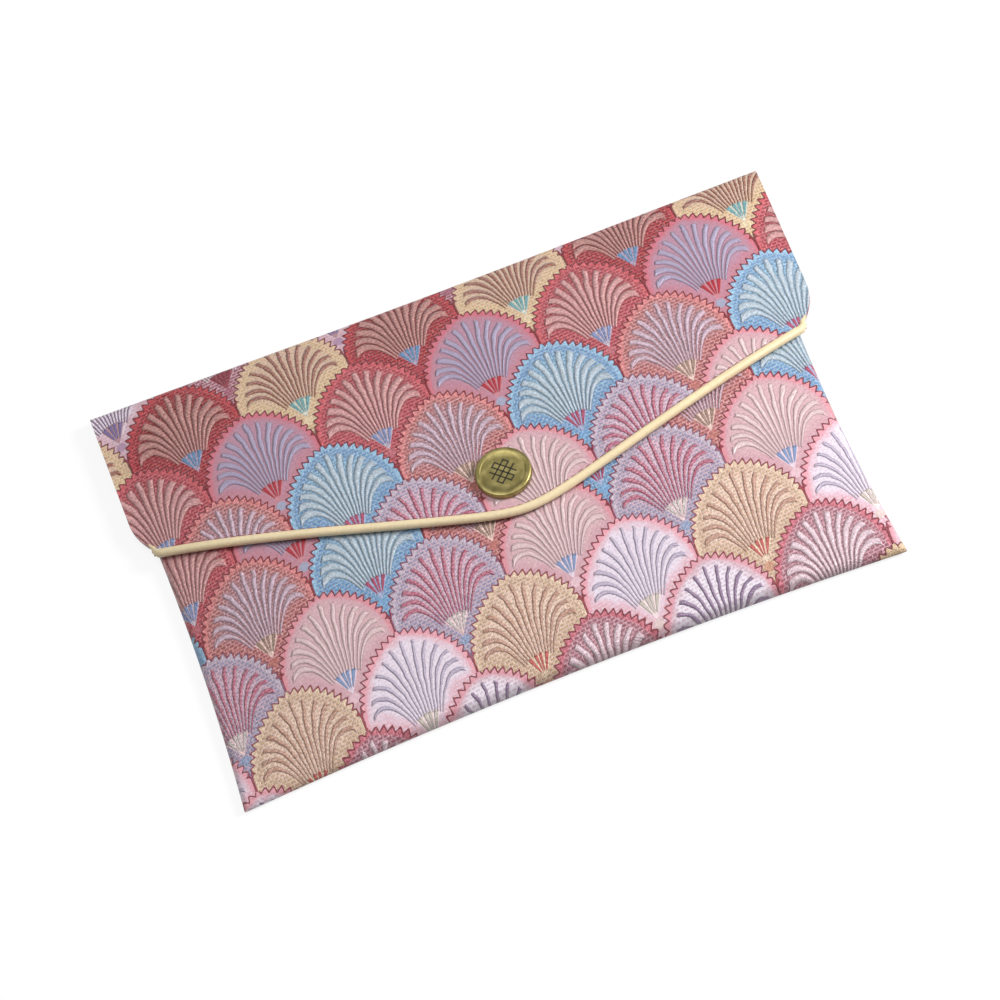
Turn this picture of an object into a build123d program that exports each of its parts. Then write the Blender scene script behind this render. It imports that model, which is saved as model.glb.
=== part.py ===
"""Gift-money envelope of brocade: a lined pouch with a piped flap and a press snap.

It lies on its back: +X along the width, +Y towards the top fold, +Z up through the flap.
The origin is the middle of the table side of its bounding box. Millimetres throughout.
"""
from build123d import *
import math
import os

# ---- driving dimensions ------------------------------------------------------------------
POUCH_WIDTH = 185.0      # corner to corner
POUCH_HEIGHT = 127.0     # bottom fold to top fold, at the corners
SIDE_BOW = 2.6           # how far each side pulls in at its middle
BOTTOM_BOW = 3.0         # how far the bottom fold pulls up at its middle
TOP_BOW = 2.0            # how far the top fold pulls down at its middle
MOUTH_DROP = 17.5        # pocket mouth below the top fold

BROCADE = 0.5            # outer cloth
INTERLINING = 0.4        # stiffener
LINING = 0.25            # satin inside
EDGE_GAP = 0.2           # space left in the pocket along its sewn edges
FLAP_GAP = 0.3           # flap lining above the pouch front
FOLD_GAP = 0.2           # between cloths of the three moving groups
EDGE_BEVEL = 0.7         # softening of the folded and sewn edges

CROWN = 5.8              # how far the padded front stands up at its middle
CROWN_POWER = 4          # flatness of the crown
CROWN_RUN_X = 0.5        # how far beyond the sides and the folds the crown runs out
CROWN_RUN_Y = 2.5

FLAP_POINT = 78.3        # top fold to where the flap's two arms would meet
FLAP_SIDE = 44.5         # top fold to the flap's side corners
FLAP_FLARE = 1.6         # how far each flap corner stands out beyond the top fold
FLAP_CORNER = 5.0        # radius of the flap's side corners
FLAP_TIP = 28.0          # radius of the rounded tip

PIPING_RADIUS = 1.1
PIPING_WALL = 0.3
PIPING_TONGUE = 5.0      # width of the flat part sewn into the flap
PIPING_SEAM = 0.8        # flap lining turned under, short of the middle of the piping

SNAP_DROP = 66.0         # top fold to the middle of the snap
CAP_RADIUS = 7.5
CAP_HEIGHT = 1.9
CAP_SHEET = 0.4
CAP_BEVEL = 0.6
CAP_DISH = 0.15          # depth of the cap's recessed face
CAP_RIM = 0.9            # width of the rim round that face
POST_RADIUS = 2.0
POST_WALL = 0.35
POST_FLANGE = 6.4
SOCKET_RADIUS = 6.0
SOCKET_HEIGHT = 2.6
SOCKET_SHEET = 0.4
KNOB_RADIUS = 2.8
KNOB_HEIGHT = 1.9
KNOB_NECK = 2.4
STUD_FLANGE = 6.0
STUD_BASE = 0.7
SNAP_GAP = 0.3           # running clearance between the two halves of the snap
EYELET_FLANGE = 5.5
SPRING_WIRE = 0.25       # radius of the spring wire
SPRING_GAP = 50.0        # opening of the spring ring, degrees
HOLE_EASE = 0.1          # holes in the cloth, beyond the post
SEAT_EASE = 0.02         # metal on cloth
DIMPLE_REACH = 11.5      # radius over which the front gives way under the snap
DIMPLE_FLOOR = 6.6       # radius of its flat floor

# ---- levels above the flat back ------------------------------------------------------------
STACK = BROCADE + INTERLINING + LINING
CAVITY_TOP = STACK + EDGE_GAP
FRONT_LINING = CAVITY_TOP + LINING
FRONT_INTERLINING = FRONT_LINING + INTERLINING
FRONT_BROCADE = FRONT_INTERLINING + BROCADE
FLAP_UNDER = FRONT_BROCADE + FLAP_GAP
FLAP_LINING = FLAP_UNDER + LINING
FLAP_INTERLINING = FLAP_LINING + INTERLINING
FLAP_BROCADE = FLAP_INTERLINING + BROCADE

HALF_W = POUCH_WIDTH / 2
HALF_H = POUCH_HEIGHT / 2
CROWN_HALF_X = HALF_W + CROWN_RUN_X
CROWN_HALF_Y = HALF_H + CROWN_RUN_Y
MOUTH_Y = HALF_H - MOUTH_DROP
SNAP_Y = HALF_H - SNAP_DROP
POINT_Y = HALF_H - FLAP_POINT
CORNER_Y = HALF_H - FLAP_SIDE
FLAP_HALF_W = HALF_W + FLAP_FLARE
DEPTH = 30.0             # height of the cutting prisms, more than the envelope is thick

os.makedirs("parts", exist_ok=True)


def save(builder, name):
    builder.part.label = name
    export_step(builder.part, f"parts/{name}.step")


# ---- the crowned surface that every front and flap cloth follows ---------------------------
def swell(distance, half):
    return 1 - (abs(distance) / half) ** CROWN_POWER


def crown_height(x, y):
    return CROWN * swell(x, CROWN_HALF_X) * swell(y, CROWN_HALF_Y)


REACH_X = HALF_W + 8     # the surface runs on past the flap and the folds
REACH_Y = HALF_H + 4
STATIONS = 7


def arch_across(y):
    """The crown's fourth-power arch at one y, as the Bezier curve that equals it."""
    rise = CROWN * swell(y, CROWN_HALF_Y)
    drop = rise * (REACH_X / CROWN_HALF_X) ** CROWN_POWER
    heights = [rise - drop, rise + drop, rise - drop, rise + drop, rise - drop]
    return [(REACH_X * (i / 2 - 1), height) for i, height in enumerate(heights)]


with BuildPart() as crown:
    for i in range(STATIONS):
        y = -REACH_Y * math.cos(math.pi * i / (STATIONS - 1))
        with BuildSketch(Plane.XZ.offset(-y)):
            with BuildLine():
                arch = Bezier(*arch_across(y))
                Polyline(arch @ 1, (REACH_X, -DEPTH), (-REACH_X, -DEPTH), arch @ 0)
            make_face()
    loft()

# ---- heights of the snap, worked out from the flap down to the stud --------------------------
SNAP_CROWN = crown_height(0, SNAP_Y)
CAP_SEAT = FLAP_BROCADE + SNAP_CROWN
SOCKET_TOP = FLAP_UNDER + SNAP_CROWN - SEAT_EASE
SOCKET_FOOT = SOCKET_TOP - SOCKET_HEIGHT
STUD_TOP = SOCKET_FOOT - SNAP_GAP
STUD_SEAT = STUD_TOP - STUD_BASE
DIMPLE_DEPTH = FRONT_BROCADE + SNAP_CROWN - STUD_SEAT + SEAT_EASE
HOLE_RADIUS = POST_RADIUS + HOLE_EASE

with BuildPart() as dimple:
    with BuildSketch(Plane.XZ.offset(-SNAP_Y)):
        with BuildLine():
            Polyline(
                (0, -DIMPLE_DEPTH), (DIMPLE_FLOOR, -DIMPLE_DEPTH), (DIMPLE_REACH, 0),
                (DIMPLE_REACH, DEPTH), (0, DEPTH), close=True)
        make_face()
    revolve(axis=Axis((0, SNAP_Y, 0), (0, 0, 1)))


def under_flap(level):
    """Everything under the crowned surface, lifted by level."""
    return crown.part.moved(Location((0, 0, level)))


def under_front(level):
    """The same with the dimple that the snap presses into the pouch front."""
    with BuildPart() as body:
        add(under_flap(level))
        add(dimple.part.moved(Location((0, 0, level + SNAP_CROWN))), mode=Mode.SUBTRACT)
    return body.part


# ---- outlines in plan ------------------------------------------------------------------------
def behind_fold(inset):
    """Everything on the far side of the bowed top fold, or of a line that far inside it."""
    middle = HALF_H - inset - TOP_BOW
    end = middle + TOP_BOW * (REACH_X / HALF_W) ** 2
    with BuildSketch() as plan:
        with BuildLine():
            fold = ThreePointArc((-REACH_X, end), (0, middle), (REACH_X, end))
            Polyline(fold @ 1, (REACH_X, POUCH_HEIGHT), (-REACH_X, POUCH_HEIGHT), fold @ 0)
        make_face()
    return plan.sketch


def pouch_plan(inset, top_inset):
    """Bowed rectangle of the pouch, inset at its sides and foot, and from its top fold."""
    half_w = HALF_W - inset
    foot = -HALF_H + inset
    with BuildSketch() as plan:
        with BuildLine():
            ThreePointArc((-half_w, foot), (0, foot + BOTTOM_BOW), (half_w, foot))
            side = ThreePointArc((half_w, foot), (half_w - SIDE_BOW, 0), (half_w, -foot))
            Line((half_w, -foot), (-half_w, -foot))
            mirror(side, about=Plane.YZ)
        make_face()
        add(behind_fold(top_inset), mode=Mode.SUBTRACT)
    return plan.sketch


def flap_plan():
    """Flap seen from above: bowed top fold, flared sides and two arms that meet in a round tip."""
    with BuildSketch() as plan:
        with BuildLine():
            edge = [
                (HALF_W, HALF_H), (FLAP_HALF_W, CORNER_Y), (0, POINT_Y), (-FLAP_HALF_W, CORNER_Y),
                (-HALF_W, HALF_H)]
            arms = FilletPolyline(*edge, radius=(FLAP_CORNER, FLAP_TIP, FLAP_CORNER))
            Line(arms @ 1, arms @ 0)
        make_face()
        add(behind_fold(0), mode=Mode.SUBTRACT)
    return plan.sketch


def prism(plan, foot):
    with BuildPart() as body:
        with BuildSketch(Plane.XY.offset(foot)):
            add(plan)
        extrude(amount=DEPTH)
    return body.part


# ---- pouch: outer cloth, stiffeners and lining -------------------------------------------------
TURN = STACK + FOLD_GAP  # room that the cloths of the top fold take behind the pouch


def pocket(inset, floor, roof):
    """Solid inside of the pouch, inset from its sewn edges, from floor up to the roof level."""
    with BuildPart() as inside:
        add(prism(pouch_plan(inset, -DEPTH), floor))
        add(under_front(roof), mode=Mode.INTERSECT)
    return inside.part


def cut_above_mouth(floor):
    """Takes the front of the pouch away between its mouth and the top fold."""
    with Locations((0, MOUTH_Y, floor)):
        Box(2 * POUCH_WIDTH, POUCH_HEIGHT, DEPTH,
            align=(Align.CENTER, Align.MIN, Align.MIN), mode=Mode.SUBTRACT)


def snap_hole(floor):
    """Round hole for the snap's post in every cloth above floor."""
    with Locations((0, SNAP_Y, floor)):
        Cylinder(HOLE_RADIUS, DEPTH, align=(Align.CENTER, Align.CENTER, Align.MIN), mode=Mode.SUBTRACT)


with BuildPart() as brocade_pouch:
    add(prism(pouch_plan(0, TURN), 0))
    add(under_front(FRONT_BROCADE), mode=Mode.INTERSECT)
    sewn_walls = brocade_pouch.faces().filter_by(lambda f: abs(f.normal_at().Z) < 0.1).sort_by(Axis.Y)[:-1]
    chamfer([e for f in sewn_walls for e in f.edges() if e.length > POUCH_HEIGHT / 2], length=EDGE_BEVEL)
    add(pocket(BROCADE, BROCADE, FRONT_INTERLINING), mode=Mode.SUBTRACT)
    cut_above_mouth(BROCADE)
    snap_hole(STACK)
save(brocade_pouch, "brocade_pouch")

with BuildPart() as back_interlining:
    with BuildSketch(Plane.XY.offset(BROCADE)):
        add(pouch_plan(BROCADE, TURN))
    extrude(amount=INTERLINING)
save(back_interlining, "back_interlining")

with BuildPart() as front_interlining:
    add(pocket(BROCADE, BROCADE + INTERLINING, FRONT_INTERLINING))
    add(under_front(FRONT_LINING), mode=Mode.SUBTRACT)
    cut_above_mouth(0)
    snap_hole(0)
save(front_interlining, "front_interlining")

with BuildPart() as pocket_lining:
    add(prism(pouch_plan(BROCADE, TURN), BROCADE + INTERLINING))
    add(under_front(FRONT_LINING), mode=Mode.INTERSECT)
    add(pocket(BROCADE + LINING, STACK, CAVITY_TOP), mode=Mode.SUBTRACT)
    cut_above_mouth(STACK)
    snap_hole(STACK)
save(pocket_lining, "pocket_lining")


# ---- top fold ----------------------------------------------------------------------------------
def fold_strip(outer, inner):
    """One cloth of the top fold: an upright strip between two insets from the fold."""
    with BuildPart() as strip:
        with BuildSketch():
            add(pouch_plan(0, outer))
            add(behind_fold(inner), mode=Mode.INTERSECT)
        extrude(amount=DEPTH)
        add(under_flap(FLAP_UNDER - FOLD_GAP), mode=Mode.INTERSECT)
    return strip


spine_brocade = fold_strip(0, BROCADE)
save(spine_brocade, "spine_brocade")
spine_interlining = fold_strip(BROCADE, BROCADE + INTERLINING)
save(spine_interlining, "spine_interlining")
spine_lining = fold_strip(BROCADE + INTERLINING, STACK)
save(spine_lining, "spine_lining")

# ---- piping round the flap's edge ----------------------------------------------------------------
PIPING_LEVEL = FLAP_UNDER + PIPING_RADIUS
PIPING_END = 8.0         # how far the piping turns up each side of the flap
ARM_SHARES = (0.13, 0.36, 0.65)  # bends that carry each arm over the crown
ARM_BEND = 30.0          # their radius
PIPING_SIDES = 10        # facets round the piping


def on_flap(x, y):
    return (x, y, PIPING_LEVEL + crown_height(x, y))


def arm(share):
    """Point on the right-hand arm, from the side corner (0) to the tip (1)."""
    return FLAP_HALF_W * (1 - share), CORNER_Y + (POINT_Y - CORNER_Y) * share


with BuildLine() as piping_line:
    right = [(FLAP_HALF_W - FLAP_FLARE * PIPING_END / FLAP_SIDE, CORNER_Y + PIPING_END)]
    right += [arm(share) for share in (0,) + ARM_SHARES]
    route = right + [arm(1)] + [(-x, y) for x, y in reversed(right)]
    arm_bends = [ARM_BEND] * len(ARM_SHARES)
    bends = [FLAP_CORNER] + arm_bends + [FLAP_TIP] + arm_bends + [FLAP_CORNER]
    FilletPolyline(*[on_flap(x, y) for x, y in route], radius=bends)


def piping_rod(radius):
    with BuildPart() as rod:
        with BuildSketch(Plane(piping_line.wire() @ 0, z_dir=piping_line.wire() % 0)):
            RegularPolygon(radius, PIPING_SIDES)
        sweep(path=piping_line.wire())
    return rod.part


def edge_strip(width, top):
    """Strip of the flap along its piped edge, up to y = top."""
    with BuildSketch() as inside:
        add(flap_plan())
        offset(amount=-width, mode=Mode.REPLACE)
    with BuildSketch() as strip:
        add(flap_plan())
        add(inside.sketch, mode=Mode.SUBTRACT)
        with Locations((0, top)):
            Rectangle(2 * POUCH_WIDTH, POUCH_HEIGHT, align=(Align.CENTER, Align.MIN), mode=Mode.SUBTRACT)
    return strip.sketch


def flap_without(strip):
    with BuildSketch() as plan:
        add(flap_plan())
        add(strip, mode=Mode.SUBTRACT)
    return plan.sketch


tongue_strip = edge_strip(PIPING_TONGUE, CORNER_Y)
seam_strip = edge_strip(PIPING_SEAM, CORNER_Y + PIPING_END)


def flap_cloth(plan, low, high):
    """One cloth of the flap between two levels, cut back where the piping lies."""
    with BuildPart() as cloth:
        add(prism(plan, 0))
        add(under_flap(high), mode=Mode.INTERSECT)
        add(under_flap(low), mode=Mode.SUBTRACT)
        add(piping_rod(PIPING_RADIUS), mode=Mode.SUBTRACT)
        snap_hole(0)
    return cloth


flap_lining = flap_cloth(flap_without(seam_strip), FLAP_UNDER, FLAP_LINING)
save(flap_lining, "flap_lining")
flap_interlining = flap_cloth(flap_without(tongue_strip), FLAP_LINING, FLAP_INTERLINING)
save(flap_interlining, "flap_interlining")
flap_brocade = flap_cloth(flap_plan(), FLAP_INTERLINING, FLAP_BROCADE)
save(flap_brocade, "flap_brocade")

CORD_RADIUS = PIPING_RADIUS - PIPING_WALL
with BuildPart() as flap_piping:
    add(flap_cloth(tongue_strip, FLAP_LINING, FLAP_INTERLINING).part)
    add(piping_rod(PIPING_RADIUS))
    add(piping_rod(CORD_RADIUS), mode=Mode.SUBTRACT)
save(flap_piping, "flap_piping")

with BuildPart() as piping_cord:
    add(piping_rod(CORD_RADIUS))
save(piping_cord, "piping_cord")

# ---- press snap ------------------------------------------------------------------------------------
SNAP_AXIS = Axis((0, SNAP_Y, 0), (0, 0, 1))
SNAP_PLANE = Plane.XZ.offset(-SNAP_Y)
CAP_TOP = CAP_SEAT + CAP_HEIGHT

with BuildPart() as snap_cap:
    with BuildSketch(SNAP_PLANE):
        with BuildLine():
            face = CAP_RADIUS - CAP_BEVEL - CAP_RIM
            Polyline(
                (0, CAP_TOP - CAP_DISH), (face, CAP_TOP - CAP_DISH), (face + CAP_DISH, CAP_TOP),
                (CAP_RADIUS - CAP_BEVEL, CAP_TOP), (CAP_RADIUS, CAP_TOP - CAP_BEVEL),
                (CAP_RADIUS, CAP_SEAT), (CAP_RADIUS - CAP_SHEET, CAP_SEAT),
                (CAP_RADIUS - CAP_SHEET, CAP_TOP - CAP_BEVEL - CAP_SHEET),
                (CAP_RADIUS - 2 * CAP_SHEET, CAP_TOP - CAP_DISH - CAP_SHEET - CAP_DISH),
                (0, CAP_TOP - CAP_DISH - CAP_SHEET - CAP_DISH), close=True)
        make_face()
    revolve(axis=SNAP_AXIS)
save(snap_cap, "snap_cap")

PLATE = SOCKET_TOP - SOCKET_SHEET
CLINCH = PLATE - POST_WALL
with BuildPart() as snap_cap_post:
    with BuildSketch(SNAP_PLANE):
        with BuildLine():
            Polyline(
                (POST_RADIUS - POST_WALL, CAP_SEAT + POST_WALL), (POST_FLANGE, CAP_SEAT + POST_WALL),
                (POST_FLANGE, CAP_SEAT), (POST_RADIUS, CAP_SEAT), (POST_RADIUS, PLATE),
                (POST_RADIUS + 2 * POST_WALL, PLATE), (POST_RADIUS + 2 * POST_WALL, CLINCH),
                (POST_RADIUS - POST_WALL, CLINCH), close=True)
        make_face()
    revolve(axis=SNAP_AXIS)
save(snap_cap_post, "snap_cap_post")

SOCKET_MOUTH = KNOB_RADIUS + SNAP_GAP + HOLE_EASE
SOCKET_BEVEL = 0.6
SOCKET_INSIDE = SOCKET_RADIUS - SOCKET_SHEET
with BuildPart() as snap_socket:
    with BuildSketch(SNAP_PLANE):
        with BuildLine():
            Polyline(
                (HOLE_RADIUS, SOCKET_TOP), (SOCKET_RADIUS - SOCKET_BEVEL, SOCKET_TOP),
                (SOCKET_RADIUS, SOCKET_TOP - SOCKET_BEVEL), (SOCKET_RADIUS, SOCKET_FOOT + SOCKET_BEVEL),
                (SOCKET_RADIUS - SOCKET_BEVEL, SOCKET_FOOT), (SOCKET_MOUTH, SOCKET_FOOT),
                (SOCKET_MOUTH, SOCKET_FOOT + SOCKET_SHEET), (SOCKET_INSIDE, SOCKET_FOOT + SOCKET_SHEET),
                (SOCKET_INSIDE, PLATE), (HOLE_RADIUS, PLATE), close=True)
        make_face()
    revolve(axis=SNAP_AXIS)
save(snap_socket, "snap_socket")

SPRING_RADIUS = SOCKET_MOUTH + 2 * SPRING_WIRE
with BuildPart() as snap_spring:
    with BuildSketch(SNAP_PLANE):
        with Locations((SPRING_RADIUS, SOCKET_FOOT + SOCKET_SHEET + SPRING_WIRE)):
            RegularPolygon(SPRING_WIRE, 6)
    revolve(axis=SNAP_AXIS, revolution_arc=360 - SPRING_GAP)
save(snap_spring, "snap_spring")

KNOB_TOP = STUD_TOP + KNOB_HEIGHT
KNOB_BEVEL = 0.5
with BuildPart() as snap_stud:
    with BuildSketch(SNAP_PLANE):
        with BuildLine():
            Polyline(
                (0, KNOB_TOP), (KNOB_RADIUS - KNOB_BEVEL, KNOB_TOP), (KNOB_RADIUS, KNOB_TOP - KNOB_BEVEL),
                (KNOB_RADIUS, KNOB_TOP - 2 * KNOB_BEVEL), (KNOB_NECK, KNOB_TOP - 3 * KNOB_BEVEL),
                (KNOB_NECK, STUD_TOP), (STUD_FLANGE - KNOB_BEVEL, STUD_TOP),
                (STUD_FLANGE, STUD_TOP - KNOB_BEVEL), (STUD_FLANGE, STUD_SEAT), (POST_RADIUS, STUD_SEAT),
                (POST_RADIUS, KNOB_TOP - POST_WALL), (0, KNOB_TOP - POST_WALL), close=True)
        make_face()
    revolve(axis=SNAP_AXIS)
save(snap_stud, "snap_stud")

EYELET_SEAT = STUD_SEAT - STACK - 2 * SEAT_EASE
with BuildPart() as snap_stud_eyelet:
    with BuildSketch(SNAP_PLANE):
        with BuildLine():
            Polyline(
                (0, EYELET_SEAT - POST_WALL), (EYELET_FLANGE, EYELET_SEAT - POST_WALL),
                (EYELET_FLANGE, EYELET_SEAT), (POST_RADIUS, EYELET_SEAT),
                (POST_RADIUS, KNOB_TOP - POST_WALL), (POST_RADIUS - POST_WALL, KNOB_TOP - POST_WALL),
                (POST_RADIUS - POST_WALL, EYELET_SEAT), (0, EYELET_SEAT), close=True)
        make_face()
    revolve(axis=SNAP_AXIS)
save(snap_stud_eyelet, "snap_stud_eyelet")
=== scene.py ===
"""Looks for the brocade gift-money envelope: cloth, piping, stitching and press snap.

Every length is in metres, in the frame of the CAD part, except in the brocade's shader, which
measures in millimetres. The file is laid out as an add-on: one operator makes each group of
pieces, and main() calls them in order.
"""
import math

import bmesh
import bpy
import numpy as np
from bpy.props import FloatProperty, FloatVectorProperty, IntProperty, PointerProperty
from mathutils import Matrix, Vector


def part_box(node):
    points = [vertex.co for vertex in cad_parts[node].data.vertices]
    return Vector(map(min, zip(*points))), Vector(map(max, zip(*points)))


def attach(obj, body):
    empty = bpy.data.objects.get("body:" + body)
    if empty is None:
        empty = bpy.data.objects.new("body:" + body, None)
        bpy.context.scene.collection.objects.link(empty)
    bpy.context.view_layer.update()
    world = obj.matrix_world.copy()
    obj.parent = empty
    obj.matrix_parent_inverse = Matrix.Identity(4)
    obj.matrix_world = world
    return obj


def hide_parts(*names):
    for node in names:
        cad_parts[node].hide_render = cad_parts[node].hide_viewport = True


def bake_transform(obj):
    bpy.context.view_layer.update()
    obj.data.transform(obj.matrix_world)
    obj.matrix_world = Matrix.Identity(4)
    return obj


bl_info = {
    "name": "Brocade Envelope",
    "version": (1, 0, 0),
    "blender": (4, 5, 0),
    "location": "3D View > Sidebar > Envelope",
    "description": "Builds the looks of a brocade envelope with a piped flap and a press snap",
    "category": "Object",
}

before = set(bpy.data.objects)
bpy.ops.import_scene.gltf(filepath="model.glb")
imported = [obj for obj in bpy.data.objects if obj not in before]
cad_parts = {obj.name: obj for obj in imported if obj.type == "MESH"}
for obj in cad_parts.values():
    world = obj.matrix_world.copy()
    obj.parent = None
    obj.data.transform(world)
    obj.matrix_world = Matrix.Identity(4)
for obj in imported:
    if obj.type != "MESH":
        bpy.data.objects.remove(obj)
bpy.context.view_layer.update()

MM = 0.001
PER_METRE = 1000         # scale that turns metres into millimetres
STRIP = "strip"          # UV map that holds the place on the cloth strip, in metres


# ---- sizes -----------------------------------------------------------
# from the CAD
POUCH_LOW, POUCH_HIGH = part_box("brocade_pouch")
CAP_LOW, CAP_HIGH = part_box("snap_cap")
HALF_W = POUCH_HIGH[0]
HALF_H = -POUCH_LOW[1]
SNAP_Y = (CAP_LOW[1] + CAP_HIGH[1]) / 2
CAP_RADIUS = (CAP_HIGH[0] - CAP_LOW[0]) / 2

# layers and levels
STACK = 0.9 * MM         # brocade with the stiffener behind it
SATIN = 0.25 * MM        # lining
LINING_DEPTH = STACK + 0.02 * MM   # from the brocade's outer face to the lining's
CROWN = 5.8 * MM         # how far the padded front stands up at its middle
CROWN_HALF_X = HALF_W + 0.5 * MM   # how far from the middle it reaches
CROWN_HALF_Y = HALF_H + 2.5 * MM
FRONT_LEVEL = 2.5 * MM   # outer face of the pouch front at its edges
FLAP_UNDER = 2.8 * MM    # inner face of the flap
FLAP_LEVEL = 3.95 * MM   # outer face of the flap

# pouch
MOUTH_Y = HALF_H - 17.5 * MM   # upper edge of the front, the pocket's mouth
BACK_DROP = 11.5 * MM    # from the top fold down to where its own piece takes over from the back
BACK_SPLIT = HALF_H - BACK_DROP
DIMPLE_FLOOR = 6.6 * MM  # radius of the flat that the snap presses into the front
DIMPLE_REACH = 12.5 * MM   # radius at which the front is free of it
STUD_SEAT = 4.96 * MM    # height of that flat

# top fold and flap
FOLD_ROLL = 2.0 * MM     # how far the top fold's curve reaches back from its outermost line
POINT_Y = HALF_H - 78.3 * MM   # the flap's point and half its width, as it was cut
FLAP_HALF_W = HALF_W + 1.6 * MM
FLAP_OVERHANG = 2.1 * MM   # how far the flap's sides lie outside the pouch's
LEFT_START, RIGHT_START = 28 * MM, 24 * MM   # height below which its sides draw in
LEFT_DRAW, RIGHT_DRAW = 3.4 * MM, 4.8 * MM   # how far they draw in
DRAW_IN = 35             # how sharply, per metre
TIP_X = 1.7 * MM         # lowest place of the flap as it lies: a little to the right
TIP_Y = HALF_H - 80.85 * MM
TIP_ROUND = 9.0 * MM     # how far its rounding reaches to each side
ARM_SLOPE = 0.336        # rise of the flap's arms from the tip to the sides
ARM_SKEW = 0.017         # how much less the right arm rises, and more the left one

# trim
PIPING_RADIUS = 1.1 * MM
PIPING_PLUMP = 1.12      # how much fuller it is drawn
PIPING_TAPER = 6 * MM    # length of its thin ends
PIPING_END = 0.35        # share of its thickness that is left at the very end
SEAM_INSET = 1.35 * MM   # from the piping's middle line to the stitches beside it
HEM = 2.5 * MM           # from the pocket's mouth to the stitches of its hem
BARE_ENDS = 8            # points of the piping's route, at each end, with no stitches beside them
FRET_LINE = 0.42 * MM    # width of the bars on the cap
FRET_PITCH = 1.55 * MM   # distance between them
FRET_HEIGHT = 0.06 * MM
CAP_DISH = 0.15 * MM     # how deep the cap's face lies in its rim

# stage
FLOOR_HALF = 6.0         # half the side of the floor
FLOOR_GLOW = 0.85        # how much of the floor's white is its own, not the lamps'
WORLD_STRENGTH = 0.26


# ---- settings that a user would change -------------------------------
class ENVELOPE_PG_cloth(bpy.types.PropertyGroup):
    left_bow: FloatProperty(
        name="Left Bow", description="How far the left side pulls in at its middle",
        default=2.6 * MM, min=0, max=0.006, unit="LENGTH")
    right_bow: FloatProperty(
        name="Right Bow", description="How far the right side pulls in at its middle",
        default=3.9 * MM, min=0, max=0.006, unit="LENGTH")
    right_lean: FloatProperty(
        name="Right Lean", description="How far the lower right corner sits in from the upper one",
        default=2.0 * MM, min=0, max=0.004, unit="LENGTH")
    shift: FloatProperty(
        name="Shift", description="How far the cloth lies to the left of the snap's line",
        default=1.3 * MM, min=0, max=0.003, unit="LENGTH")
    foot_lean: FloatProperty(
        name="Foot Lean",
        description="How far the bottom fold drops at its left end and lifts at its right",
        default=1.4 * MM, min=0, max=0.003, unit="LENGTH")
    bottom_bow: FloatProperty(
        name="Bottom Bow", description="How far the bottom fold pulls up at its middle",
        default=3.0 * MM, min=0, max=0.006, unit="LENGTH")
    top_bow: FloatProperty(
        name="Top Bow", description="How far the top fold pulls down at its middle",
        default=1.7 * MM, min=0, max=0.006, unit="LENGTH")
    edge_roll: FloatProperty(
        name="Edge Roll", description="Width over which the cloth rolls over at a folded edge",
        default=1.7 * MM, min=0.0005, max=0.004, unit="LENGTH")
    slack: FloatProperty(
        name="Slack", description="Height of the soft waves in the cloth",
        default=0.28 * MM, min=0, max=0.001, unit="LENGTH")
    step: FloatProperty(
        name="Mesh Step", description="Distance between the rows of the cloth meshes",
        default=1.0 * MM, min=0.0005, max=0.004, unit="LENGTH")


class ENVELOPE_PG_shells(bpy.types.PropertyGroup):
    column_pitch: FloatProperty(
        name="Column Pitch", description="Distance between neighbouring shells of a row, in mm",
        default=31.9, min=10, max=60)
    row_pitch: FloatProperty(
        name="Row Pitch", description="Distance between the rows of shells, in mm",
        default=20.6, min=5, max=40)
    tooth: FloatProperty(
        name="Tooth Pitch", description="Length of one tooth of the zigzag outline, in mm",
        default=2.2, min=0.5, max=5)


class ENVELOPE_PG_trim(bpy.types.PropertyGroup):
    piping_colour: FloatVectorProperty(
        name="Piping", description="Colour of the satin piping",
        default=(0.84, 0.69, 0.43), size=3, min=0, max=1, subtype="COLOR")
    stitch_colour: FloatVectorProperty(
        name="Stitching", description="Colour of the sewing thread",
        default=(0.25, 0.035, 0.04), size=3, min=0, max=1, subtype="COLOR")
    lining_colour: FloatVectorProperty(
        name="Lining", description="Colour of the satin inside",
        default=(0.38, 0.018, 0.032), size=3, min=0, max=1, subtype="COLOR")
    brass_colour: FloatVectorProperty(
        name="Brass", description="Colour of the antique brass",
        default=(0.50, 0.42, 0.17), size=3, min=0, max=1, subtype="COLOR")
    stitch_pitch: FloatProperty(
        name="Stitch Pitch", description="Distance between two stitches",
        default=2.3 * MM, min=0.001, max=0.006, unit="LENGTH")
    stitch_length: FloatProperty(
        name="Stitch Length", description="Length of one stitch",
        default=1.7 * MM, min=0.0005, max=0.005, unit="LENGTH")
    thread_radius: FloatProperty(
        name="Thread Radius", description="Radius of the sewing thread",
        default=0.2 * MM, min=0.00005, max=0.001, unit="LENGTH")
    tube_sides: IntProperty(
        name="Tube Sides", description="Number of faces round the piping",
        default=16, min=6, max=48)


class ENVELOPE_PG_stage(bpy.types.PropertyGroup):
    azimuth: FloatProperty(
        name="Azimuth", description="Camera's turn about the upright axis",
        default=math.radians(-4.88), subtype="ANGLE")
    elevation: FloatProperty(
        name="Elevation", description="Camera's height angle over the table",
        default=math.radians(58.11), subtype="ANGLE")
    roll: FloatProperty(
        name="Roll", description="Camera's turn about its own axis",
        default=math.radians(-16.48), subtype="ANGLE")
    distance: FloatProperty(
        name="Distance", description="Camera's distance from its aim",
        default=1.8094, min=0.1, unit="LENGTH")
    lens: FloatProperty(
        name="Lens", description="Focal length", default=250, min=20, unit="CAMERA")
    floor_colour: FloatVectorProperty(
        name="Floor", description="Colour of the floor",
        default=(0.42, 0.40, 0.40), size=3, min=0, max=1, subtype="COLOR")


def cloth_settings():
    return bpy.context.scene.envelope_cloth


def trim_settings():
    return bpy.context.scene.envelope_trim


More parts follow.
